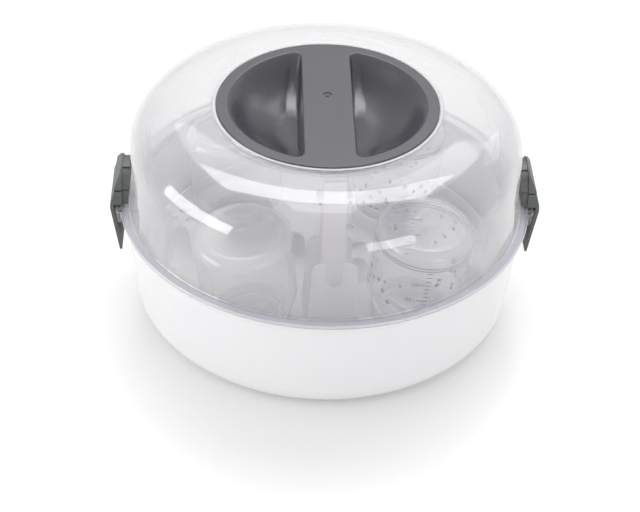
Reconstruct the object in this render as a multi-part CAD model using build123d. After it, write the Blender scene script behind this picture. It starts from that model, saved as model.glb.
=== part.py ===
from build123d import *
import math
import os

# Microwave steam steriliser for baby bottles, in millimetres.
# +Z is up and the origin is the centre of the bowl's underside. The two latches are on the X axis,
# the grip of the handle runs along Y, and the front is towards -Y.
# Pieces that come in pairs are described on the +X side, and the left one is turned half round Z.

# Bowl
bowl_height = 77.4
bowl_high_radius = 135.5
bowl_draft = 5.3
bowl_wall = 2.6
bowl_corner = 16.0
foot_inset = 18.2
foot_width = 5.0
foot_height = 1.2
bead_reach = 2.5
bead_height = 4.5
bead_round = 1.1

# Lid; it rests on the bowl, its rises are counted from its underside
seat_gap = 0.3
flange_reach = 2.0
flange_thickness = 2.6
lid_wall = 2.4
lid_foot_inset = 6.0
lid_draft = 2.5
lid_shoulder_rise = 42.5
crown_rise = 76.4
crown_flat = 6.4
dome_fullness = 0.63
skirt_depth = 4.0
skirt_wall = 2.0
skirt_gap = 0.6
well_bead_width = 1.9
well_bead_rise = 0.5
well_groove_width = 0.9
well_groove_depth = 0.7
well_seat_width = 5.0

# Recess in the lid behind each latch
recess_inset = 16.5
recess_bend_rise = 21.3
recess_lean = 15.5

# Lug of the lid that carries a latch
lug_latch_gap = 0.7
lug_bowl_gap = 0.55
lug_below_pivot = 9.9
lug_above_pivot = 2.5
lug_slot_width = 17.8
lug_slot_depth = 7.6
lug_low_round = 2.0
lug_high_round = 0.7
lug_rib = 0.5
lug_rib_drops = (1.4, 4.2)

# Handle dish, held by a snap under the lid's well
dish_radius = 74.0
dish_rise = 0.9
dish_plate = 2.7
dish_edge_round = 0.8
dish_gap = 0.4
grip_width = 33.0
dish_wall = 2.2
dish_skirt_wall = 2.0
snap_height = 1.4
snap_reach = 1.3
gate_mark_radius = 3.2
gate_mark_depth = 0.5
gate_mark_place = 9.0
gate_stub_radius = 1.1

# Finger recesses of the handle. Their section has a soft lip and then drops like a bowl; each level
# is (share of the depth, share of the reach that is left, set-back from the grip).
scoop_rim_width = 7.5
scoop_depth = 24.0
scoop_corner = 5.0
scoop_levels = (
    (0, 1.0, 0),
    (0.08, 0.955, 0.3),
    (0.3, 0.86, 0.7),
    (0.6, 0.7, 1.2),
    (0.85, 0.48, 2.0),
    (1.0, 0.2, 3.5),
)
scoop_end_share = 0.3
scoop_corner_share = 0.35
scoop_edge_round = 1.0

# Latches; each pad is a tab of three rows with a half-round outline
latch_width = 42.0
latch_plate = 2.5
latch_tip_plate = 1.8
latch_foot_drop = 32.6
latch_pad_inset = 7.0
latch_pad_rise = 4.9
latch_row_heights = (11.0, 10.2, 2.4)
latch_groove = 1.2
latch_groove_depth = 1.5
latch_end_groove = 0.8
latch_low_row_inset = 1.2
latch_row_step = 0.8
latch_row_round = 0.7
latch_rim_step = 1.3
latch_rim_inset = 2.0
latch_bulge = 6.3
latch_waist_rise = 2.0
latch_draw_above = 8.0
latch_draw_below = 5.1
latch_draw_power = 1.8
pivot_reach = 1.0
pivot_rise = 2.4
pin_radius = 1.5
pin_inset = 0.5
pin_fit = 0.02
pin_running_gap = 0.06
knuckle_radius = 2.7
knuckle_gap = 0.5
hook_thickness = 2.6
hook_gap = 0.35

# Rack
rack_turn = 4.5
rack_inset = 6.2
rack_height = 20.0
rack_plate = 2.2
rack_rim_height = 9.0
rack_rim_wall = 2.0
leg_radius = 4.5
leg_outer_inset = 15.0
leg_inner_circle = 50.0
collar_height = 7.0
collar_wall = 2.0
collar_gap = 0.6
seat_ledge = 3.0
seat_rib = 2.4
seat_sink = 1.2
arch_length = 40.0
arch_wide = 21.0
arch_narrow = 15.0
arch_wide_round = 3.0
arch_narrow_round = 7.0

# Steam windows in the rack's plate, each (across, along, width, length, corner radius) in its own
# frame. The first list is cut once, round the tongs; the second is cut in each quarter, by the rim.
inner_windows = (
    (-19, 4, 18, 66, 8),
    (-22, -38, 8, 40, 3.9),
    (26, -10, 12, 27, 5.9),
    (38, -12, 7, 30, 3.4),
    (28, 18, 12, 8, 3.9),
    (22, 40, 11, 7, 3.4),
    (20, 56, 8, 5, 2.4),
)
arch_place = (-101, 30)
outer_windows = (
    (-94, 68, 9, 7, 3.4),
    (-102, 59, 5, 5, 2.4),
    (-91, 56, 7, 5, 2.4),
)

# Bottles
bottle_count = 4
bottle_circle = 76.5
bottle_lean = 7.0
bottle_length = 78.0
bottle_radius = 32.5
bottle_wall = 1.6
neck_radius = 22.6
neck_length = 14.0
thread_depth = 1.2
thread_half_height = 1.0
thread_heights = (4.0, 8.0)
neck_bead = 2.2
shoulder_length = 12.0
bottle_corner = 8.0
punt_depth = 1.4
mouth_gap = 0.3

# Tongs
tong_circle = 50.0
tong_length = 110.0
tong_bend_drop = 16.0
tong_width_top = 14.5
tong_width_low = 18.0
tong_tip_round = 5.0
tong_top_round = 1.5
tong_plate = 2.0
tong_spread_top = 9.0
tong_lean = 3.0
tong_ear_reach = 12.4
tong_ear_radius = 2.6
tong_post_radius = 0.8
tong_post_gap = 0.3
tong_post_spare = 0.5
tong_block_height = 5.0
tong_block_round = 1.2
tong_gap = 0.35

# Holder for the tongs, on the rack
holder_front = 66.0
holder_back = 34.0
holder_width = 32.0
holder_flare = 1.5
holder_taper = 1.0
holder_rise = 51.0
holder_plate = 2.0
holder_corner = 7.0
holder_slot_width = 11.5
holder_slot_depth = 20.0
holder_side_rise = 20.0

# Cutting solids run this far past a face, and joined ones this far into each other
overrun = 1.0

# Worked out from the sizes above
bowl_low_radius = bowl_high_radius - bowl_draft
bowl_floor = foot_height + bowl_wall
foot_radius = bowl_low_radius - foot_inset
bead_radius = bowl_high_radius + bead_reach
bead_low = bowl_height - bead_height
bowl_slope = bowl_draft / (bead_low - foot_height)
bowl_inner_top = bowl_high_radius - bowl_wall + bowl_slope * bead_height
lid_low = bowl_height + seat_gap
flange_radius = bead_radius + flange_reach
flange_top = lid_low + flange_thickness
lid_foot_radius = flange_radius - lid_foot_inset
lid_shoulder_radius = lid_foot_radius - lid_draft
lid_shoulder_height = lid_low + lid_shoulder_rise
crown_height = lid_low + crown_rise
dish_top = crown_height + dish_rise
dish_low = dish_top - dish_plate
well_radius = dish_radius + dish_gap
well_floor = dish_low - seat_gap
crown_radius = well_radius + well_bead_width + well_groove_width + crown_flat
seat_under = well_floor - lid_wall
lid_hole_radius = well_radius - well_seat_width
recess_distance = flange_radius - recess_inset
recess_bend_height = lid_low + recess_bend_rise
grip_half = grip_width / 2
scoop_rim_radius = dish_radius - scoop_rim_width
pivot_distance = bead_radius + pivot_reach
pivot_height = lid_low + pivot_rise
lug_width = latch_width
lug_low = pivot_height - lug_below_pivot
lug_high = pivot_height + lug_above_pivot
latch_half = latch_width / 2
latch_pad_inner = pivot_distance - latch_pad_inset
latch_pad_low = pivot_height + latch_pad_rise
latch_top = latch_pad_low + sum(latch_row_heights)
latch_foot = pivot_height - latch_foot_drop
latch_waist = pivot_height + latch_waist_rise
latch_arch_middle = latch_top - latch_half
latch_reach = pivot_distance + latch_bulge
rack_radius = bowl_low_radius - rack_inset
rack_low = rack_height - rack_plate
rack_middle = rack_height - rack_plate / 2
leg_outer_circle = rack_radius - leg_outer_inset
collar_inner = neck_radius + thread_depth + collar_gap
collar_outer = collar_inner + collar_wall
collar_sink = math.sin(math.radians(bottle_lean)) * collar_outer + rack_plate
quarter_turn = 360 / bottle_count
tong_top = rack_height + tong_length
tong_bend_height = tong_top - tong_bend_drop
tong_post_place = tong_ear_reach - tong_ear_radius
holder_height = rack_height + holder_rise
holder_side_height = rack_height + holder_side_rise


def turned(outline):
    """A solid of revolution round Z of a flat (radius, height) face."""
    return revolve(Plane.XZ * outline, Axis.Z)


def closed_line(*points):
    return Polyline(*points, close=True).edges()


def soften(face, corners):
    """Round the corners of a flat outline; each is (across, up, rounding)."""
    for across, up, rounding in corners:
        corner = face.vertices().sort_by_distance((across, up, 0))[0]
        face = fillet(corner, rounding)
    return face


def thick(face, thickness):
    """A plate that stands across Y, from a flat (across, up) face."""
    return extrude(Plane.XZ * face, amount=thickness / 2, both=True)


def tube(outer, inner, low, high):
    middle = Pos(0, 0, (low + high) / 2)
    return middle * Cylinder(outer, high - low) - middle * Cylinder(inner, 2 * (high - low))


def block(low, high):
    """A box between two corners."""
    size = [b - a for a, b in zip(low, high)]
    middle = [(a + b) / 2 for a, b in zip(low, high)]
    return Pos(*middle) * Box(*size)


def at_pivot(radius, length):
    """A round bar along Y through the right-hand latch's pivot."""
    return Pos(pivot_distance, 0, pivot_height) * Rot(90, 0, 0) * Cylinder(radius, length)


def base_bowl():
    foot_inner = foot_radius - foot_width
    inner_low = bowl_low_radius - bowl_wall
    outline = make_face(closed_line(
        (0, foot_height),
        (foot_inner, foot_height),
        (foot_inner, 0),
        (foot_radius, 0),
        (foot_radius, foot_height),
        (bowl_low_radius, foot_height),
        (bowl_high_radius, bead_low),
        (bead_radius, bead_low),
        (bead_radius, bowl_height),
        (bowl_inner_top, bowl_height),
        (inner_low, bowl_floor),
        (0, bowl_floor),
    ))
    outline = soften(outline, (
        (bowl_low_radius, foot_height, bowl_corner),
        (inner_low, bowl_floor, bowl_corner - bowl_wall),
        (bead_radius, bowl_height, bead_round),
        (bead_radius, bead_low, bead_round),
        (bowl_high_radius, bead_low, bead_round / 2),
        (bowl_inner_top, bowl_height, bead_round / 2),
        (foot_radius, 0, foot_height / 2),
        (foot_inner, 0, foot_height / 2),
    ))
    return turned(outline)


def dome_curve(inset):
    """The lid's section from its shoulder up to the crown, moved inwards by the inset."""
    shoulder = (lid_shoulder_radius - inset, lid_shoulder_height)
    top = crown_height - inset
    rise = top - lid_shoulder_height
    run = shoulder[0] - crown_radius
    curve = Bezier(
        shoulder,
        (shoulder[0], lid_shoulder_height + dome_fullness * rise),
        (crown_radius + dome_fullness * run, top),
        (crown_radius, top),
    )
    return shoulder, curve, top


def lid_envelope():
    """The lid's outer form, filled, with its flange, the well for the handle and the beads round it."""
    shoulder, curve, top = dome_curve(0)
    bead_edge = well_radius + well_bead_width
    groove_edge = bead_edge + well_groove_width
    low = Polyline(
        (0, lid_low),
        (flange_radius, lid_low),
        (flange_radius, flange_top),
        (lid_foot_radius, flange_top),
        shoulder,
    )
    high = Polyline(
        (crown_radius, top),
        (groove_edge, top),
        (groove_edge - well_groove_width / 2, top - well_groove_depth),
        (bead_edge, top),
        (bead_edge - well_bead_width / 3, top + well_bead_rise),
        (well_radius + well_bead_width / 3, top + well_bead_rise),
        (well_radius, top),
        (well_radius, well_floor),
        (0, well_floor),
        (0, lid_low),
    )
    outline = soften(make_face([*low.edges(), curve, *high.edges()]), (
        (flange_radius, flange_top, flange_thickness / 3),
        (flange_radius, lid_low, flange_thickness / 4),
        (lid_foot_radius, flange_top, flange_thickness / 2),
    ))
    return turned(outline)


def lid_hollow():
    """The space under the lid, filled, from below its flange up to the well and the crown."""
    shoulder, curve, top = dome_curve(lid_wall)
    under = lid_low - overrun
    foot = lid_foot_radius - lid_wall
    step = well_radius + lid_wall
    low = Polyline((0, under), (foot, under), (foot, flange_top), shoulder)
    high = Polyline((crown_radius, top), (step, top), (step, seat_under), (0, seat_under), (0, under))
    return turned(make_face([*low.edges(), curve, *high.edges()]))


def recess_space(inset, low):
    """Everything beyond the back of the right-hand recess: a flat panel that leans out above its bend."""
    near = recess_distance - inset
    far = 2 * flange_radius
    high = 2 * crown_height
    lean = math.tan(math.radians(recess_lean)) * (high - recess_bend_height)
    outline = make_face(closed_line(
        (near, low),
        (near, recess_bend_height),
        (near + lean, high),
        (far, high),
        (far, low),
    ))
    return thick(outline, 2 * flange_radius)


def latch_outer(height):
    """How far out the latch's outer face is at a height: it swells to its waist and draws in below."""
    if height > latch_waist:
        share = (height - latch_waist) / (latch_top - latch_waist)
        return latch_reach - latch_draw_above * share ** latch_draw_power
    return latch_reach - latch_draw_below * (latch_waist - height) / (latch_waist - latch_foot)


def lug_end(height):
    return latch_outer(min(height, latch_waist)) - latch_plate - lug_latch_gap


def lug():
    """The right-hand lug, with ribs along its two ends, before its slot and bore are cut."""
    root = recess_distance - lid_wall
    step = bead_radius + lug_bowl_gap
    outline = soften(make_face(closed_line(
        (root, lid_low),
        (step, lid_low),
        (step, lug_low),
        (lug_end(lug_low), lug_low),
        (lug_end(latch_waist), lug_high),
        (root, lug_high),
    )), (
        (lug_end(latch_waist), lug_high, lug_high_round),
        (lug_end(lug_low), lug_low, lug_low_round),
    ))
    body = thick(outline, lug_width)
    rib_half = lug_width / 2 + lug_rib
    for drop in lug_rib_drops:
        rib_high = lug_high - drop
        body += block(
            (recess_distance, -rib_half, rib_high - lug_rib),
            (lug_end(lug_high) - lug_high_round, rib_half, rib_high),
        )
    return body


def lug_cut():
    """The slot through the lug and flange for the latch's knuckle, and the pin's bore."""
    slot = block(
        (lug_end(lug_high) - lug_slot_depth, -lug_slot_width / 2, lug_low - overrun),
        (lug_end(lug_high) + overrun, lug_slot_width / 2, lug_high + overrun),
    )
    return slot + at_pivot(pin_radius + pin_fit, 2 * lug_width)


def lid_dome():
    outer = lid_envelope()
    hollow = lid_hollow()
    for side in (0, 180):
        outer -= Rot(0, 0, side) * recess_space(0, flange_top)
        hollow -= Rot(0, 0, side) * recess_space(lid_wall, lid_low)
    lid = outer - hollow
    skirt_outer = bowl_inner_top - skirt_gap
    lid += tube(skirt_outer, skirt_outer - skirt_wall, lid_low - skirt_depth, lid_low + flange_thickness / 2)
    lid -= Pos(0, 0, well_floor) * Cylinder(lid_hole_radius, 4 * lid_wall)
    for side in (0, 180):
        lid += Rot(0, 0, side) * lug()
        lid -= Rot(0, 0, side) * lug_cut()
    return lid


def scoop(offset):
    """The right-hand finger recess of the handle as a solid, larger all round by the offset."""
    straight = math.sqrt(scoop_rim_radius ** 2 - grip_half ** 2)
    sections = []
    for depth_share, reach_share, set_back in scoop_levels:
        half = straight * (scoop_end_share + (1 - scoop_end_share) * reach_share) + offset
        near = grip_half + set_back - offset
        far = grip_half + (scoop_rim_radius - grip_half) * reach_share + offset
        rounding = min(scoop_corner + offset, scoop_corner_share * (far - near))
        outline = make_face([
            Line((near, -half), (near, half)),
            ThreePointArc((near, half), (far, 0), (near, -half)),
        ])
        outline = soften(outline, ((near, half, rounding), (near, -half, rounding)))
        sections.append(Pos(0, 0, dish_top - depth_share * (scoop_depth + offset)) * outline)
    return loft(sections)


def handle_dish():
    plate = Pos(0, 0, (dish_top + dish_low) / 2) * Cylinder(dish_radius, dish_plate)
    top_edge = plate.edges().filter_by(GeomType.CIRCLE).sort_by(Axis.Z)[-1]
    plate = fillet(top_edge, dish_edge_round)
    skirt_outer = lid_hole_radius - dish_gap
    snap_high = seat_under - seat_gap
    snap_low = snap_high - snap_height
    body = plate + tube(skirt_outer, skirt_outer - dish_skirt_wall, snap_low, dish_low + overrun)
    body += tube(skirt_outer + snap_reach, skirt_outer - dish_skirt_wall / 2, snap_low, snap_high)
    for side in (0, 180):
        shell = scoop(dish_wall) & Pos(0, 0, dish_low) * Cylinder(skirt_outer, 4 * scoop_depth)
        shell &= block((0, -dish_radius, 0), (dish_radius, dish_radius, dish_top - dish_plate / 2))
        body += Rot(0, 0, side) * shell
    for side in (0, 180):
        body -= Rot(0, 0, side) * scoop(0)
    level_edges = body.edges().filter_by_position(Axis.Z, dish_top, dish_top)
    body = fillet(level_edges.filter_by(GeomType.BSPLINE), scoop_edge_round)
    mark = tube(gate_mark_radius, gate_stub_radius, dish_top - gate_mark_depth, dish_top + overrun)
    return body - Pos(0, gate_mark_place, 0) * mark


def latch_leg():
    """The latch's outer plate, from its tip below the bowl's bead up into the pad."""
    plate_top = latch_pad_low + 2 * overrun
    inner = latch_outer(latch_waist) - latch_plate
    tip = latch_outer(latch_foot)
    leg = soften(make_face(closed_line(
        (tip, latch_foot),
        (latch_outer(latch_waist), latch_waist),
        (latch_outer(plate_top), plate_top),
        (inner, plate_top),
        (inner, latch_waist),
        (tip - latch_tip_plate, latch_foot),
    )), (
        (tip, latch_foot, latch_tip_plate * 0.4),
        (tip - latch_tip_plate, latch_foot, latch_tip_plate * 0.4),
    ))
    return thick(leg, latch_width)


def latch_arch(inset):
    """Everything inside the pad's half-round outline, made smaller all round by the inset."""
    radius = latch_half - inset
    far = 2 * latch_reach
    top = Pos(latch_reach, 0, latch_arch_middle) * Rot(0, 90, 0) * Cylinder(radius, far)
    return top + block((0, -radius, 0), (far, radius, latch_arch_middle))


def latch_rim(step):
    """What is cut off round the half of the pad that faces the lid, to make it smaller by the step."""
    rim_split = pivot_distance - latch_rim_inset
    inner_side = block((0, -latch_width, latch_pad_low), (rim_split, latch_width, latch_top))
    return inner_side - latch_arch(step)


def latch_row(low, high, is_low_row):
    """One row of the pad; the lowest one is set back on the lid's side."""
    inner = latch_pad_inner + (latch_low_row_inset if is_low_row else 0)
    high_outer = latch_outer(high) - latch_row_step
    outline = soften(make_face(closed_line(
        (inner, low),
        (latch_outer(low), low),
        (high_outer, high),
        (inner, high),
    )), (
        (latch_outer(low), low, latch_row_round / 2),
        (high_outer, high, latch_row_round),
    ))
    return thick(outline, latch_width)


def latch_pad():
    """The three stepped rows that a thumb presses, round a core set back by the groove's depth."""
    core_low = latch_pad_low + overrun
    core_high = latch_top - latch_row_heights[-1] / 2
    core_inner = latch_pad_inner + latch_groove_depth
    pad = thick(make_face(closed_line(
        (core_inner, core_low),
        (latch_outer(core_low) - latch_groove_depth, core_low),
        (latch_outer(core_high) - latch_groove_depth, core_high),
        (core_inner, core_high),
    )), latch_width)
    pad &= latch_arch(latch_groove_depth)
    pad -= latch_rim(latch_rim_step + latch_end_groove)
    low = latch_pad_low
    for row_height in latch_row_heights:
        groove = 0 if low + row_height > latch_top - overrun else latch_groove
        row = latch_row(low, low + row_height - groove, low == latch_pad_low)
        pad += (row & latch_arch(0)) - latch_rim(latch_rim_step)
        low += row_height
    return pad


def latch():
    """The right-hand latch: pad above the pivot, leg below it, knuckle on the pin and hook under the bead."""
    plate_inner = latch_outer(latch_waist) - latch_plate
    web_half = lug_slot_width / 2 - knuckle_gap
    hook_high = bead_low - hook_gap
    hook_low = hook_high - hook_thickness
    body = latch_leg() + latch_pad()
    body += at_pivot(knuckle_radius, 2 * web_half)
    body += block(
        (pivot_distance, -web_half, pivot_height - knuckle_radius),
        (plate_inner + overrun, web_half, pivot_height + knuckle_radius),
    )
    body += block(
        (bead_radius + hook_gap, -web_half, hook_low),
        (latch_outer(hook_low) - latch_plate / 2, web_half, hook_high),
    )
    return body - at_pivot(pin_radius + pin_running_gap, 2 * lug_width)


def latch_pin():
    return at_pivot(pin_radius, lug_width - 2 * pin_inset)


def bottle_place(number):
    """The frame of a bottle: the centre of its mouth, with +Z up along its axis."""
    turn = rack_turn + quarter_turn * (number - 1.5)
    return Rot(0, 0, turn) * Pos(bottle_circle, 0, rack_height) * Rot(0, bottle_lean, 0)


def bottle_neck_line():
    """Points up the outside of the neck, from the mouth to the top of the bead, in the bottle's frame."""
    points = [(neck_radius - bottle_wall, mouth_gap), (neck_radius, mouth_gap)]
    for height in thread_heights:
        points.append((neck_radius, height - thread_half_height))
        points.append((neck_radius + thread_depth, height))
        points.append((neck_radius, height + thread_half_height))
    points.append((neck_radius, neck_length - neck_bead))
    points.append((neck_radius + neck_bead, neck_length - neck_bead))
    points.append((neck_radius + neck_bead, neck_length))
    return points


def bottle():
    """An upturned bottle: its mouth is at height 0 and its bottom is uppermost."""
    body_low = neck_length + shoulder_length
    bend_low = neck_length + shoulder_length / 3
    bend_high = neck_length + 2 * shoulder_length / 3
    inner_radius = bottle_radius - bottle_wall
    neck_inner = neck_radius - bottle_wall
    top = bottle_length
    neck_line = bottle_neck_line()
    outer_neck = Polyline(*neck_line)
    outer_shoulder = Bezier(
        neck_line[-1],
        (bottle_radius, bend_low),
        (bottle_radius, bend_high),
        (bottle_radius, body_low),
    )
    side = Polyline(
        (bottle_radius, body_low),
        (bottle_radius, top),
        (bottle_radius - bottle_corner, top),
        (0, top - punt_depth),
        (0, top - punt_depth - bottle_wall),
        (inner_radius, top - bottle_wall),
        (inner_radius, body_low),
    )
    inner_shoulder = Bezier(
        (inner_radius, body_low),
        (inner_radius, bend_high),
        (inner_radius, bend_low),
        (neck_inner, neck_length),
    )
    inner_neck = Line((neck_inner, neck_length), neck_line[0])
    outline = make_face([*outer_neck.edges(), outer_shoulder, *side.edges(), inner_shoulder, inner_neck])
    outline = soften(outline, (
        (bottle_radius, top, bottle_corner - seat_gap),
        (inner_radius, top - bottle_wall, bottle_corner - bottle_wall),
    ))
    return turned(outline)


def window(across, along, width, length, rounding):
    """A hole through the rack's plate, with rounded corners."""
    hole = extrude(RectangleRounded(width, length, rounding), amount=rack_plate, both=True)
    return Pos(across, along, rack_middle) * hole


def arch_window():
    """A steam window by the rim that narrows towards one end."""
    half = arch_length / 2
    outline = soften(make_face(closed_line(
        (-arch_wide / 2, -half),
        (arch_wide / 2, -half),
        (arch_narrow / 2, half),
        (-arch_narrow / 2, half),
    )), (
        (-arch_wide / 2, -half, arch_wide_round),
        (arch_wide / 2, -half, arch_wide_round),
        (arch_narrow / 2, half, arch_narrow_round),
        (-arch_narrow / 2, half, arch_narrow_round),
    ))
    return Pos(*arch_place, rack_middle) * extrude(outline, amount=rack_plate, both=True)


def collar(number):
    """The ring on the rack that a bottle's neck stands in."""
    body = Pos(0, 0, (collar_height - collar_sink) / 2) * Cylinder(collar_outer, collar_height + collar_sink)
    return bottle_place(number) * body


def collar_bore(number):
    """The room for the neck down to the plate, and the hole under its mouth."""
    neck_room = Pos(0, 0, collar_height) * Cylinder(collar_inner, 2 * collar_height)
    return bottle_place(number) * (neck_room + Cylinder(neck_radius - seat_ledge, 6 * collar_sink))


def collar_ribs(number):
    """A cross under the bottle's mouth."""
    reach = neck_radius - seat_ledge + overrun
    rib = block((-reach, -seat_rib / 2, -collar_sink), (reach, seat_rib / 2, -seat_sink))
    return bottle_place(number) * (rib + Rot(0, 0, 90) * rib)


def leg(distance):
    low = bowl_floor + seat_gap
    high = rack_low + rack_plate / 2
    return Pos(distance, 0, (low + high) / 2) * Cylinder(leg_radius, high - low)


def bottle_rack():
    own_frame = Rot(0, 0, rack_turn)
    rack = Pos(0, 0, rack_middle) * Cylinder(rack_radius, rack_plate)
    rack += tube(rack_radius, rack_radius - rack_rim_wall, rack_low, rack_height + rack_rim_height)
    for number in range(bottle_count):
        rack += collar(number)
    for number in range(bottle_count):
        rack -= collar_bore(number)
        rack += collar_ribs(number)
    for sizes in inner_windows:
        rack -= own_frame * window(*sizes)
    for number in range(bottle_count):
        quarter = own_frame * Rot(0, 0, quarter_turn * number)
        rack -= quarter * arch_window()
        for sizes in outer_windows:
            rack -= quarter * window(*sizes)
        rack += quarter * Rot(0, 0, quarter_turn / 2) * leg(leg_outer_circle)
        rack += quarter * leg(leg_inner_circle)
    return rack + own_frame * tong_holder()


def tong_holder():
    """Front and back plates with low sides between them; the front plate has a slot open at its top."""
    foot_half = holder_width / 2 + holder_flare
    top_half = holder_width / 2 - holder_taper
    plate = soften(make_face(closed_line(
        (-foot_half, rack_middle),
        (foot_half, rack_middle),
        (top_half, holder_height),
        (-top_half, holder_height),
    )), (
        (top_half, holder_height, holder_corner),
        (-top_half, holder_height, holder_corner),
    ))
    slot = Pos(0, holder_height) * SlotOverall(2 * holder_slot_depth, holder_slot_width, rotation=90)
    holder = Pos(0, -holder_front, 0) * thick(plate - slot, holder_plate)
    holder += Pos(0, -holder_back, 0) * thick(plate, holder_plate)
    side_inner = holder_width / 2 - holder_plate
    side = block(
        (side_inner, -holder_front, rack_middle),
        (side_inner + holder_plate, -holder_back, holder_side_height),
    )
    return holder + side + Pos(-2 * side_inner - holder_plate, 0, 0) * side


def tong_arm(facing):
    """One arm of the tongs; facing is -1 for the front arm and 1 for the back one."""
    low = rack_height + seat_gap - tong_bend_height
    high = tong_top - tong_bend_height
    shape = soften(make_face(closed_line(
        (-tong_width_low / 2, low),
        (tong_width_low / 2, low),
        (tong_width_top / 2, high),
        (-tong_width_top / 2, high),
    )), (
        (-tong_width_low / 2, low, tong_tip_round),
        (tong_width_low / 2, low, tong_tip_round),
        (-tong_width_top / 2, high, tong_top_round),
        (tong_width_top / 2, high, tong_top_round),
    ))
    shape += Rectangle(2 * tong_post_place, 2 * tong_ear_radius)
    for side in (-1, 1):
        shape += Pos(side * tong_post_place, 0) * Circle(tong_ear_radius)
        shape -= Pos(side * tong_post_place, 0) * Circle(tong_post_radius + tong_post_gap)
    place = Pos(0, -tong_circle + facing * (tong_spread_top + tong_plate) / 2, tong_bend_height)
    return Rot(0, 0, rack_turn) * place * Rot(facing * tong_lean, 0, 0) * thick(shape, tong_plate)


def tong_block():
    """The block between the arms, with the posts that the arms' ears sit on."""
    half_depth = tong_spread_top / 2 - tong_gap
    half_height = tong_block_height / 2
    body = block((-tong_ear_reach, -half_depth, -half_height), (tong_ear_reach, half_depth, half_height))
    body = fillet(body.edges().filter_by(Axis.Y), tong_block_round)
    post_length = tong_spread_top + 2 * (tong_plate + tong_post_spare)
    for side in (-1, 1):
        body += Pos(side * tong_post_place, 0, 0) * Rot(90, 0, 0) * Cylinder(tong_post_radius, post_length)
    return Rot(0, 0, rack_turn) * Pos(0, -tong_circle, tong_bend_height) * body


def write(name, shape):
    export_step(shape, os.path.join("parts", name + ".step"))


os.makedirs("parts", exist_ok=True)
write("base_bowl", base_bowl())
write("bottle_rack", bottle_rack())
write("lid_dome", lid_dome())
write("handle_dish", handle_dish())
for side_name, side_turn in (("right", 0), ("left", 180)):
    write("latch_" + side_name, Rot(0, 0, side_turn) * latch())
    write("latch_pin_" + side_name, Rot(0, 0, side_turn) * latch_pin())
write("tong_arm_front", tong_arm(-1))
write("tong_arm_back", tong_arm(1))
write("tong_block", tong_block())
for bottle_number, bottle_name in enumerate(("front_left", "front_right", "back_right", "back_left")):
    write("bottle_" + bottle_name, bottle_place(bottle_number) * bottle())
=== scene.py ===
import bpy
import math
from mathutils import Matrix, Vector


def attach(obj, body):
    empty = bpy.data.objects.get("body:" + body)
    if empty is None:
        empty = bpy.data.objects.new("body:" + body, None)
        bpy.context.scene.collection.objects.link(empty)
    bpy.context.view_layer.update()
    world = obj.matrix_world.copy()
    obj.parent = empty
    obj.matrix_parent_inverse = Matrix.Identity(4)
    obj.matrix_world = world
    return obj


# Looks, light and camera for the microwave steam steriliser, in metres in the CAD frame.

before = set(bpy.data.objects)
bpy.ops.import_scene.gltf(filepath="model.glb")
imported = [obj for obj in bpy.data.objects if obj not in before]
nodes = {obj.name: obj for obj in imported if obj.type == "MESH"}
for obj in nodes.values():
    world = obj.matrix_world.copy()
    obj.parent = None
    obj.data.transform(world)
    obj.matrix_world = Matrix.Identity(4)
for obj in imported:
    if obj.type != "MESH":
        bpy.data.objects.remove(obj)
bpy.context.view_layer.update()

# Camera: found from the outlines of the bowl, the flange, the dome and the handle disc
image_width = 640
focal_pixels = 1700.0
sensor_width = 36.0
camera_distance = 1.202
camera_pitch = math.radians(38.35)
camera_roll = math.radians(-2.005)
camera_yaw = math.radians(-2.7)
camera_target = Vector((-0.0017, 0.0, 0.0256))

# Bottles, as in the part: where they stand, how they lean and how large they are
rack_turn = 4.5
bottle_circle = 0.0765
bottle_foot = 0.020
bottle_lean = math.radians(7.0)
bottle_radius = 0.0325
bottle_wall = 0.0016
bottle_names = ("front_left", "front_right", "back_right", "back_left")

# The rounded edge of a bottle's bottom, which gets a painted highlight: its heights above the mouth, how
# far in it reaches, and how strong the painted highlight is
bottle_edge_low = 0.0705
bottle_edge_high = 0.078
bottle_edge_width = 0.0075
bottle_edge_highlight = 0.16

# How milky the two left bottles are
front_left_haze = 0.16
back_left_haze = 0.05

# The print on a clear bottle, a plain design of this part's own: two double rings, with dots and
# two plain scales between them; heights are above the bottle's mouth
print_low = 0.014
print_high = 0.066
line_width = 0.0009
line_step = 0.0021
scale_angle = -45.0
scale_step = 0.0035
tick_length = 0.0035
long_tick = 0.0075
number_size = 0.0046
number_ticks = ((3, "180"), (7, "120"), (11, "60"))
number_places = [(print_low + ticks * scale_step, text) for ticks, text in number_ticks]
number_gap = 0.0005
ring_clearance = 0.0025
ink_lift = 0.00008
ink_cover = 0.92

# Dots of the print, one at most in each cell; a dot's radius is a share of its cell
cells_per_metre = 165.0
dot_radius_low = 0.18
dot_radius_high = 0.32
cells_left_empty = 0.7
teal_dots = 0.2
teal_and_magenta_dots = 0.5

# The strip without dots at a scale, in degrees: its turn towards the numbers, and half its width
scale_strip_turn = 12
scale_strip_half = 18

# Lid and handle, as in the part
lid_low = 0.0777
flange_top = 0.0803
flange_radius = 0.14
flange_foot = 0.134
well_bead_middle = 0.07535
well_bead_half = 0.00095
crown_height = 0.1541
dish_top = 0.155

# What the lid's material paints on the flange and round the well, and how strongly each shows: a painted
# highlight on the well's bead and along the flange's top edge, a painted shadow along its lower edge, and
# painted shade on its top face
rim_depth = 0.0012
rim_light_half = 0.0009
rim_light_haze = 0.4
rim_shade_rise = 0.0001
rim_shade_half = 0.0005
rim_shade_share = 0.8
top_face_half = 0.0024
top_face_level = 0.0002
top_face_share = 0.45
well_bead_highlight = 0.9

# The handle is smooth below its edge and satin at the top
satin_low = dish_top - 0.003
satin_high = dish_top - 0.0005

# Tongs, as in the part
tong_circle = 0.05
post_tip = 0.0063


def bottle_turn(number):
    return math.radians(rack_turn + 90 * (number - 1.5))


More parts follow.
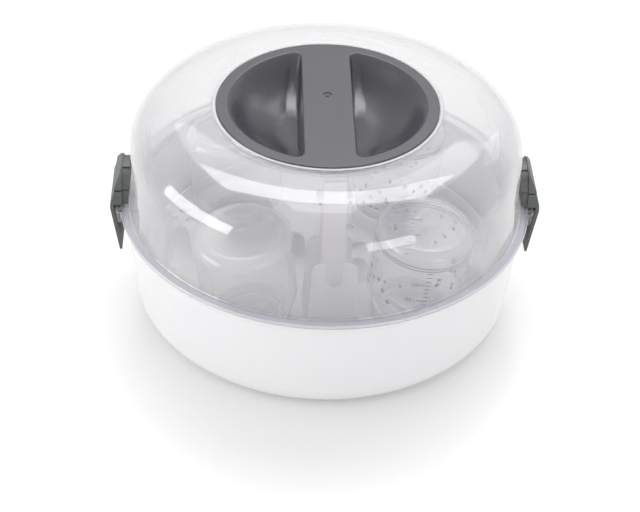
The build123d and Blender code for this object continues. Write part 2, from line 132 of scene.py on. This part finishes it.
def bottle_matrix(number):
    """The frame of a bottle: the centre of its mouth, with +Z up along its axis."""
    turn = Matrix.Rotation(bottle_turn(number), 4, "Z")
    stand = turn @ Matrix.Translation((bottle_circle, 0, bottle_foot))
    return stand @ Matrix.Rotation(bottle_lean, 4, "Y")


def srgb(red, green, blue):
    """A display colour, 0 to 255 a channel, made linear."""
    out = []
    for value in (red, green, blue):
        share = value / 255
        out.append(share / 12.92 if share <= 0.04045 else ((share + 0.055) / 1.055) ** 2.4)
    return (*out, 1.0)


class Tree:
    """A material's node tree, with a short way to add nodes and link them."""

    def __init__(self, name):
        self.material = bpy.data.materials.new(name)
        self.material.use_nodes = True
        self.nodes = self.material.node_tree.nodes
        self.links = self.material.node_tree.links
        self.nodes.clear()
        self.output = self.nodes.new("ShaderNodeOutputMaterial")

    def add(self, kind, sockets=None, **settings):
        node = self.nodes.new(kind)
        for key, value in settings.items():
            setattr(node, key, value)
        for key, value in (sockets or {}).items():
            if isinstance(value, bpy.types.NodeSocket):
                self.links.new(value, node.inputs[key])
            else:
                node.inputs[key].default_value = value
        return node

    def math(self, operation, first, second=0.0, third=0.0):
        return self.add("ShaderNodeMath", {0: first, 1: second, 2: third}, operation=operation).outputs[0]

    def place(self):
        return self.add("ShaderNodeTexCoord").outputs["Object"]

    def noise(self, scale, detail=2.0):
        sockets = {"Vector": self.place(), "Scale": scale, "Detail": detail}
        return self.add("ShaderNodeTexNoise", sockets).outputs["Fac"]

    def spread(self, value, low, high, start=0.3, end=0.7):
        sockets = {"Value": value, "From Min": start, "From Max": end, "To Min": low, "To Max": high}
        return self.add("ShaderNodeMapRange", sockets).outputs["Result"]

    def near(self, value, middle, reach):
        """1 where the value is within the reach of the middle, else 0."""
        return self.math("COMPARE", value, middle, reach)

    def blend(self, share, first, second):
        node = self.add("ShaderNodeMix", data_type="RGBA")
        for socket, value in ((node.inputs[0], share), (node.inputs[6], first), (node.inputs[7], second)):
            if isinstance(value, bpy.types.NodeSocket):
                self.links.new(value, socket)
            else:
                socket.default_value = value
        return node.outputs[2]

    def bump(self, height, strength, distance):
        sockets = {"Height": height, "Strength": strength, "Distance": distance}
        return self.add("ShaderNodeBump", sockets).outputs["Normal"]

    def mix(self, share, first, second):
        return self.add("ShaderNodeMixShader", {0: share, 1: first, 2: second}).outputs[0]

    def above(self, value, limit):
        """1 where the value is over the limit, else 0."""
        return self.math("GREATER_THAN", value, limit)

    def both(self, first, second):
        return self.math("MULTIPLY", first, second)

    def either(self, first, second):
        return self.math("MAXIMUM", first, second)

    def split(self, place):
        return self.add("ShaderNodeSeparateXYZ", {0: place}).outputs

    def local(self, centre, turns):
        """Coordinates in a frame of its own, from its centre and its three turns."""
        sockets = {"Vector": self.place(), "Location": centre, "Rotation": turns}
        return self.split(self.add("ShaderNodeMapping", sockets, vector_type="TEXTURE").outputs[0])

    def away(self, axes):
        """The distance from the Z axis, from separate coordinates."""
        across = self.both(axes["X"], axes["X"])
        return self.math("SQRT", self.math("MULTIPLY_ADD", axes["Y"], axes["Y"], across))

    def join(self, first, second):
        return self.add("ShaderNodeAddShader", {0: first, 1: second}).outputs[0]

    def finish(self, shader):
        self.links.new(shader, self.output.inputs["Surface"])
        return self.material


def moulded_plastic(name, colour, deeper, roughness, grain, grain_depth):
    """Solid moulded plastic: faint drift of colour, uneven gloss and a fine mould texture."""
    tree = Tree(name)
    base = tree.blend(tree.spread(tree.noise(9.0, 3.0), 0.0, 1.0), colour, deeper)
    rough = tree.spread(tree.noise(60.0, 4.0), roughness - 0.04, roughness + 0.04)
    normal = tree.bump(tree.noise(grain, 3.0), 0.35, grain_depth)
    sockets = {"Base Color": base, "Roughness": rough, "Normal": normal}
    return tree.finish(tree.add("ShaderNodeBsdfPrincipled", sockets).outputs[0])


def bowl_white():
    return moulded_plastic(
        "bowl_white", srgb(247, 246, 247), srgb(244, 243, 245),
        roughness=0.22, grain=900.0, grain_depth=0.00002,
    )


def latch_grey():
    return moulded_plastic(
        "latch_grey", srgb(90, 95, 90), srgb(82, 87, 83),
        roughness=0.5, grain=2600.0, grain_depth=0.00004,
    )


def handle_grey():
    """The handle's plastic: a satin top and smoother finger recesses below it."""
    tree = Tree("handle_grey")
    base = tree.blend(tree.spread(tree.noise(11.0, 3.0), 0.0, 1.0), srgb(73, 71, 77), srgb(69, 67, 73))
    satin = tree.spread(tree.split(tree.place())["Z"], 0.0, 1.0, satin_low, satin_high)
    uneven = tree.spread(tree.noise(70.0, 4.0), -0.03, 0.03)
    rough = tree.math("ADD", tree.spread(satin, 0.25, 0.38, 0.0, 1.0), uneven)
    grain = tree.both(tree.noise(2400.0, 2.0), satin)
    normal = tree.bump(grain, 0.4, 0.00004)
    sockets = {"Base Color": base, "Roughness": rough, "Normal": normal}
    return tree.finish(tree.add("ShaderNodeBsdfPrincipled", sockets).outputs[0])


def clear_shader(tree, tint, haze, haze_share, slant_share, roughness, ripple, painted_highlight=0.0):
    """Thin clear plastic: seen through, with a haze that grows at a slant, a painted highlight added to
    the haze, and a gloss over it.
    """
    normal = tree.bump(tree.noise(40.0, 2.0), 0.2, ripple)
    slant = tree.add("ShaderNodeLayerWeight", {"Blend": 0.5, "Normal": normal}).outputs["Facing"]
    drift = tree.spread(tree.noise(14.0, 3.0), 0.85, 1.15)
    share = tree.math("MULTIPLY_ADD", tree.math("POWER", slant, 2.0), slant_share, haze_share)
    # The painted highlight is added to the haze's share, so it shows as a lighter, milkier patch
    share = tree.math("MULTIPLY_ADD", share, drift, painted_highlight)
    through = tree.add("ShaderNodeBsdfTransparent", {"Color": tint}).outputs[0]
    milk = tree.add("ShaderNodeBsdfDiffuse", {"Color": haze}).outputs[0]
    glow = tree.add("ShaderNodeBsdfTranslucent", {"Color": haze}).outputs[0]
    body = tree.mix(share, through, tree.mix(0.5, milk, glow))
    gloss = tree.add("ShaderNodeBsdfGlossy", {"Roughness": roughness, "Normal": normal}).outputs[0]
    edge = tree.math("MULTIPLY_ADD", tree.math("POWER", slant, 4.2), 0.9, 0.045)
    inside = tree.add("ShaderNodeNewGeometry").outputs["Backfacing"]
    return tree.mix(tree.both(edge, tree.spread(inside, 1.0, 0.25, 0.0, 1.0)), body, gloss)


def lid_clear():
    """The lid: clear, with a painted highlight on the bead round the handle's well, and a painted
    highlight, a painted shadow and painted shade along the flange's edges and top face.
    """
    tree = Tree("lid_clear")
    axes = tree.split(tree.place())
    away = tree.away(axes)
    height = axes["Z"]
    # Painted highlight: more haze on the bead round the handle's well
    bead_highlight = tree.both(tree.near(away, well_bead_middle, well_bead_half), tree.above(height, crown_height))
    rim = tree.above(away, flange_radius - rim_depth)
    # Painted highlight: a light line along the flange's top outer edge
    rim_light = tree.both(rim, tree.near(height, flange_top - rim_depth, rim_light_half))
    # Painted shadow: a dark line along the flange's lower outer edge, where the lid meets the bowl's rim
    rim_shade = tree.both(rim, tree.near(height, lid_low + rim_shade_rise, rim_shade_half))
    # Painted shade: a violet band on the flange's top face
    top_middle = (flange_radius + flange_foot) / 2
    top_ring = tree.near(away, top_middle, top_face_half)
    top_face = tree.both(top_ring, tree.near(height, flange_top, top_face_level))
    # The painted highlights of the bead and of the flange's top edge, added to the haze
    lid_highlights = tree.math("MULTIPLY_ADD", bead_highlight, well_bead_highlight, tree.both(rim_light, rim_light_haze))
    clear = clear_shader(
        tree, srgb(254, 254, 254), srgb(253, 252, 253),
        haze_share=0.11, slant_share=0.6, roughness=0.06, ripple=0.00003, painted_highlight=lid_highlights,
    )
    # Colour of the painted shade on the flange's top face
    violet = tree.add("ShaderNodeBsdfDiffuse", {"Color": srgb(168, 165, 182)}).outputs[0]
    # Colour of the painted shadow under the flange's edge
    grey = tree.add("ShaderNodeBsdfDiffuse", {"Color": srgb(138, 136, 146)}).outputs[0]
    shader = tree.mix(tree.both(top_face, top_face_share), clear, violet)
    return tree.finish(tree.mix(tree.both(rim_shade, rim_shade_share), shader, grey))


def milky_plastic(name, colour, share, is_block=False):
    """Translucent moulded plastic that lets a little of what is behind it through."""
    tree = Tree(name)
    cloud = tree.spread(tree.noise(25.0, 4.0), share - 0.04, share + 0.04)
    normal = tree.bump(tree.noise(700.0, 3.0), 0.3, 0.00003)
    deeper = [part * 0.96 for part in colour[:3]] + [1.0]
    base = tree.blend(tree.spread(tree.noise(12.0), 0.0, 1.0), colour, deeper)
    if is_block:
        # Painted shade: the post tips get a dark grey for the shadow in their holes
        base = tree.blend(painted_shade_post_tips(tree), base, srgb(58, 58, 62))
    sockets = {"Base Color": base, "Roughness": 0.3, "Normal": normal}
    solid = tree.add("ShaderNodeBsdfPrincipled", sockets).outputs[0]
    glow = tree.add("ShaderNodeBsdfTranslucent", {"Color": base, "Normal": normal}).outputs[0]
    through = tree.add("ShaderNodeBsdfTransparent", {"Color": colour}).outputs[0]
    return tree.finish(tree.mix(cloud, through, tree.mix(0.35, solid, glow)))


def painted_shade_post_tips(tree):
    """1 at the ends of the posts that the tongs' arms sit on, where a painted shade stands for the dark
    of their holes.
    """
    turn = math.radians(rack_turn)
    centre = Matrix.Rotation(turn, 4, "Z") @ Vector((0, -tong_circle, 0))
    depth = tree.local(centre, (0, 0, turn))["Y"]
    return tree.above(tree.math("ABSOLUTE", depth), post_tip)


def bottle_axes(tree, number):
    """Coordinates in a bottle's own frame: the centre of its mouth, with Z up along its axis."""
    turn = bottle_turn(number)
    centre = Matrix.Rotation(turn, 4, "Z") @ Vector((bottle_circle, 0, bottle_foot))
    return tree.local(centre, (0, bottle_lean, turn))


def painted_edge_highlight(tree, axes):
    """A painted highlight on the rounded edge of a bottle's bottom, where it catches the light."""
    middle = (bottle_edge_low + bottle_edge_high) / 2
    at_edge = tree.near(axes["Z"], middle, (bottle_edge_high - bottle_edge_low) / 2)
    wide = tree.above(tree.away(axes), bottle_radius - bottle_edge_width)
    return tree.both(tree.both(at_edge, wide), bottle_edge_highlight)


def frosted_bottle(name, number, haze_share):
    tree = Tree(name)
    edge = painted_edge_highlight(tree, bottle_axes(tree, number))
    return tree.finish(clear_shader(
        tree, srgb(253, 253, 253), srgb(250, 250, 251),
        haze_share=haze_share, slant_share=0.3, roughness=0.12, ripple=0.00002, painted_highlight=edge,
    ))


def print_rings(tree, height, teal, olive):
    """A double ring at each end of the print: its share and its colour."""
    ink = 0.0
    colour = teal
    for ring_height, ring_colour in ((print_low, teal), (print_high, olive)):
        for side in (-1, 1):
            ring = tree.near(height, ring_height + side * line_step / 2, line_width / 2)
            ink = tree.either(ink, ring)
            colour = tree.blend(ring, colour, ring_colour)
    return ink, colour


def print_scales(tree, arc, height, in_print):
    """Two plain scales on opposite sides, with longer ticks; the numbers stand beside one of them."""
    step = tree.math("PINGPONG", tree.math("SUBTRACT", height, print_low), scale_step / 2)
    tick = tree.math("LESS_THAN", step, line_width / 2)
    ink = 0.0
    for degrees in (scale_angle, scale_angle + 180):
        place = math.radians(degrees) * bottle_radius
        at_scale = tree.near(arc, place, tick_length / 2)
        ink = tree.either(ink, tree.both(tree.both(tick, at_scale), in_print))
        for number_height, text in number_places:
            long_line = tree.near(height, number_height, line_width / 2)
            beside = tree.near(arc, place + (tick_length - long_tick) / 2, long_tick / 2)
            ink = tree.either(ink, tree.both(long_line, beside))
    return ink


def print_dots(tree, angle, arc, height, inks):
    """Dots of uneven size, scattered everywhere but at the scales: their share and their colour."""
    teal, olive, magenta = inks
    flat = tree.add("ShaderNodeCombineXYZ", {0: arc, 1: height}).outputs[0]
    sockets = {"Vector": flat, "Scale": cells_per_metre}
    cells = tree.add("ShaderNodeTexVoronoi", sockets, voronoi_dimensions="2D").outputs
    pick = tree.add("ShaderNodeSeparateColor", {0: cells["Color"]}).outputs
    radius = tree.spread(pick[1], dot_radius_low, dot_radius_high, 0.0, 1.0)
    dot = tree.math("LESS_THAN", cells["Distance"], radius)
    dot = tree.both(dot, tree.above(pick[0], cells_left_empty))
    strip = tree.math("SUBTRACT", angle, math.radians(scale_angle - scale_strip_turn))
    beside = tree.math("PINGPONG", strip, math.radians(90))
    dot = tree.both(dot, tree.above(beside, math.radians(scale_strip_half)))
    colour = tree.blend(tree.above(pick[2], teal_and_magenta_dots), magenta, olive)
    return dot, tree.blend(tree.math("LESS_THAN", pick[2], teal_dots), colour, teal)


def print_layer(tree, axes):
    """The ink on a bottle: its share and its colour, drawn round the bottle's own axis."""
    teal = srgb(34, 112, 122)
    olive = srgb(112, 126, 70)
    magenta = srgb(168, 56, 112)
    angle = tree.math("ARCTAN2", axes["Y"], axes["X"])
    arc = tree.both(angle, bottle_radius)
    height = axes["Z"]
    middle = (print_low + print_high) / 2
    in_print = tree.near(height, middle, (print_high - print_low) / 2 - ring_clearance)

    ink, colour = print_rings(tree, height, teal, olive)
    ink = tree.either(ink, print_scales(tree, arc, height, in_print))
    dot, dot_colour = print_dots(tree, angle, arc, height, (teal, olive, magenta))
    dot = tree.both(dot, in_print)
    colour = tree.blend(dot, colour, dot_colour)
    on_outside = tree.above(tree.away(axes), bottle_radius - bottle_wall / 2)
    return tree.both(tree.either(ink, dot), on_outside), colour


def printed_bottle(name, number):
    tree = Tree(name)
    axes = bottle_axes(tree, number)
    clear = clear_shader(
        tree, srgb(253, 253, 254), srgb(248, 248, 251),
        haze_share=0.08, slant_share=0.25, roughness=0.08, ripple=0.00002,
        painted_highlight=painted_edge_highlight(tree, axes),
    )
    ink, colour = print_layer(tree, axes)
    paint = tree.add("ShaderNodeBsdfPrincipled", {"Base Color": colour, "Roughness": 0.4}).outputs[0]
    return tree.finish(tree.mix(tree.both(ink, ink_cover), clear, paint))


def ink_grey():
    return moulded_plastic(
        "ink_grey", srgb(70, 82, 96), srgb(64, 76, 90),
        roughness=0.4, grain=1800.0, grain_depth=0.00001,
    )


def bent_number(text, bottle, height, material):
    """A number printed on a bottle; the bottle is upturned, so the number hangs upside down."""
    font = bpy.data.curves.new("number", "FONT")
    font.body = text
    font.size = number_size
    font.align_x = "LEFT"
    font.align_y = "CENTER"
    writing = bpy.data.objects.new("number", font)
    bpy.context.scene.collection.objects.link(writing)
    bpy.context.view_layer.update()
    drawn = writing.evaluated_get(bpy.context.evaluated_depsgraph_get())
    mesh = bpy.data.meshes.new_from_object(drawn)
    bpy.data.objects.remove(writing)
    outside = bottle_radius + ink_lift
    start = math.radians(scale_angle) - (long_tick - tick_length / 2 + number_gap) / bottle_radius
    matrix = bottle_matrix(bottle)
    for vertex in mesh.vertices:
        angle = start - vertex.co.x / bottle_radius
        vertex.co = matrix @ Vector((
            outside * math.cos(angle), outside * math.sin(angle), height - vertex.co.y,
        ))
    mesh.materials.clear()
    mesh.materials.append(material)
    name = "scale_%s_%s" % (text, bottle_names[bottle])
    piece = bpy.data.objects.new(name, mesh)
    bpy.context.scene.collection.objects.link(piece)
    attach(piece, "bottle_" + bottle_names[bottle])


def dress(material, *names):
    """Gives the named nodes the material in all their slots."""
    for name in names:
        data = nodes[name].data
        for index in range(max(1, len(data.materials))):
            if index < len(data.materials):
                data.materials[index] = material
            else:
                data.materials.append(material)


def dress_object():
    dress(bowl_white(), "base_bowl")
    dress(lid_clear(), "lid_dome")
    dress(handle_grey(), "handle_dish")
    dress(latch_grey(), "latch_left", "latch_right", "latch_pin_left", "latch_pin_right")
    rack_white = srgb(249, 249, 250)
    tong_white = srgb(250, 249, 250)
    dress(milky_plastic("rack_milky", rack_white, share=0.84), "bottle_rack")
    dress(milky_plastic("tongs_milky", tong_white, share=0.85), "tong_arm_front", "tong_arm_back")
    dress(milky_plastic("tong_block_milky", tong_white, share=0.85, is_block=True), "tong_block")
    ink = ink_grey()
    for number, name in enumerate(bottle_names):
        if "left" in name:
            haze_share = front_left_haze if "front" in name else back_left_haze
            dress(frosted_bottle("bottle_" + name, number, haze_share), "bottle_" + name)
            continue
        dress(printed_bottle("bottle_" + name, number), "bottle_" + name)
        for height, text in number_places:
            bent_number(text, number, height, ink)


def flat_mesh(name, corners):
    mesh = bpy.data.meshes.new(name)
    mesh.from_pydata(corners, [], [list(range(len(corners)))])
    piece = bpy.data.objects.new(name, mesh)
    bpy.context.scene.collection.objects.link(piece)
    return piece


def make_floor():
    """A pale glossy floor that shows white to the camera and keeps the object's shadow."""
    size = 4.0
    floor = flat_mesh("floor", [(-size, -size, 0), (size, -size, 0), (size, size, 0), (-size, size, 0)])
    tree = Tree("floor_white")
    base = tree.blend(tree.noise(3.0), (0.78, 0.785, 0.77, 1), (0.8, 0.805, 0.79, 1))
    lit = tree.add("ShaderNodeBsdfPrincipled", {"Base Color": base, "Roughness": 0.3}).outputs[0]
    path = tree.add("ShaderNodeLightPath")
    seen = tree.either(path.outputs["Is Camera Ray"], path.outputs["Is Glossy Ray"])
    seen = tree.either(seen, path.outputs["Is Transmission Ray"])
    glow = tree.add("ShaderNodeEmission", {"Strength": tree.both(seen, 0.1)}).outputs[0]
    floor.data.materials.append(tree.finish(tree.join(lit, glow)))


def make_world():
    world = bpy.data.worlds.new("studio")
    world.use_nodes = True
    tree = world.node_tree
    tree.nodes.clear()
    output = tree.nodes.new("ShaderNodeOutputWorld")
    path = tree.nodes.new("ShaderNodeLightPath")
    around = tree.nodes.new("ShaderNodeBackground")
    around.inputs["Color"].default_value = (0.99, 0.985, 1.0, 1)
    around.inputs["Strength"].default_value = 0.93
    white = tree.nodes.new("ShaderNodeBackground")
    white.inputs["Strength"].default_value = 1.0
    mix = tree.nodes.new("ShaderNodeMixShader")
    tree.links.new(path.outputs["Is Camera Ray"], mix.inputs[0])
    tree.links.new(around.outputs[0], mix.inputs[1])
    tree.links.new(white.outputs[0], mix.inputs[2])
    tree.links.new(mix.outputs[0], output.inputs["Surface"])
    bpy.context.scene.world = world


def lamp(name, azimuth, elevation, distance, width, height, brightness, only_gloss=False):
    """A softbox in a direction from the object; azimuth 0 is the front and 90 the right.

    One that is only for gloss shows in reflections and gives no diffuse light.
    """
    around = math.radians(azimuth)
    rise = math.radians(elevation)
    middle = Vector((0, 0, 0.1))
    away = Vector((math.sin(around) * math.cos(rise), -math.cos(around) * math.cos(rise), math.sin(rise)))
    data = bpy.data.lights.new(name, "AREA")
    data.shape = "RECTANGLE"
    data.size = width
    data.size_y = height
    data.energy = brightness * math.pi * width * height
    piece = bpy.data.objects.new(name, data)
    bpy.context.scene.collection.objects.link(piece)
    piece.location = middle + distance * away
    piece.rotation_euler = (-away).to_track_quat("-Z", "Y").to_euler()
    piece.visible_diffuse = not only_gloss
    piece.visible_transmission = not only_gloss


def make_lights():
    lamp("panel_back", 172, 58, 1.8, 1.9, 1.2, 2.0)
    lamp("panel_left", -78, 22, 1.7, 1.3, 0.9, 0.7)
    lamp("softbox_back_right", 130, 29, 1.7, 0.5, 0.4, 1.5)
    lamp("shine_top", 175, 66, 1.7, 1.6, 0.55, 6.0, only_gloss=True)
    lamp("shine_over", 180, 84, 1.7, 0.5, 0.4, 3.0, only_gloss=True)
    lamp("shine_back_right", 148, 47, 1.7, 0.7, 0.45, 2.0, only_gloss=True)
    lamp("shine_left", -74, 10, 1.6, 1.3, 0.65, 10.0, only_gloss=True)
    lamp("shine_right", 32, 9, 1.6, 0.7, 0.55, 6.0, only_gloss=True)


def make_camera():
    forward = Vector((0, math.cos(camera_pitch), -math.sin(camera_pitch)))
    right = Vector((1, 0, 0))
    down = Vector((0, -math.sin(camera_pitch), -math.cos(camera_pitch)))
    image_right = math.cos(camera_roll) * right + math.sin(camera_roll) * down
    image_down = -math.sin(camera_roll) * right + math.cos(camera_roll) * down
    place = camera_target - camera_distance * forward
    turn = Matrix.Rotation(camera_yaw, 3, "Z")
    axes = Matrix((turn @ image_right, turn @ -image_down, turn @ -forward)).transposed()
    data = bpy.data.cameras.new("camera")
    data.sensor_width = sensor_width
    data.lens = focal_pixels * sensor_width / image_width
    data.clip_start = 0.05
    data.clip_end = 20
    camera = bpy.data.objects.new("camera", data)
    bpy.context.scene.collection.objects.link(camera)
    camera.matrix_world = Matrix.Translation(turn @ place) @ axes.to_4x4()
    bpy.context.scene.camera = camera


dress_object()
make_floor()
make_world()
make_lights()
make_camera()
scene = bpy.context.scene
scene.view_settings.view_transform = "Standard"
scene.cycles.transparent_max_bounces = 32
scene.cycles.max_bounces = 14
scene.cycles.diffuse_bounces = 8
scene.cycles.transmission_bounces = 8
scene.cycles.glossy_bounces = 4
bpy.context.view_layer.update()
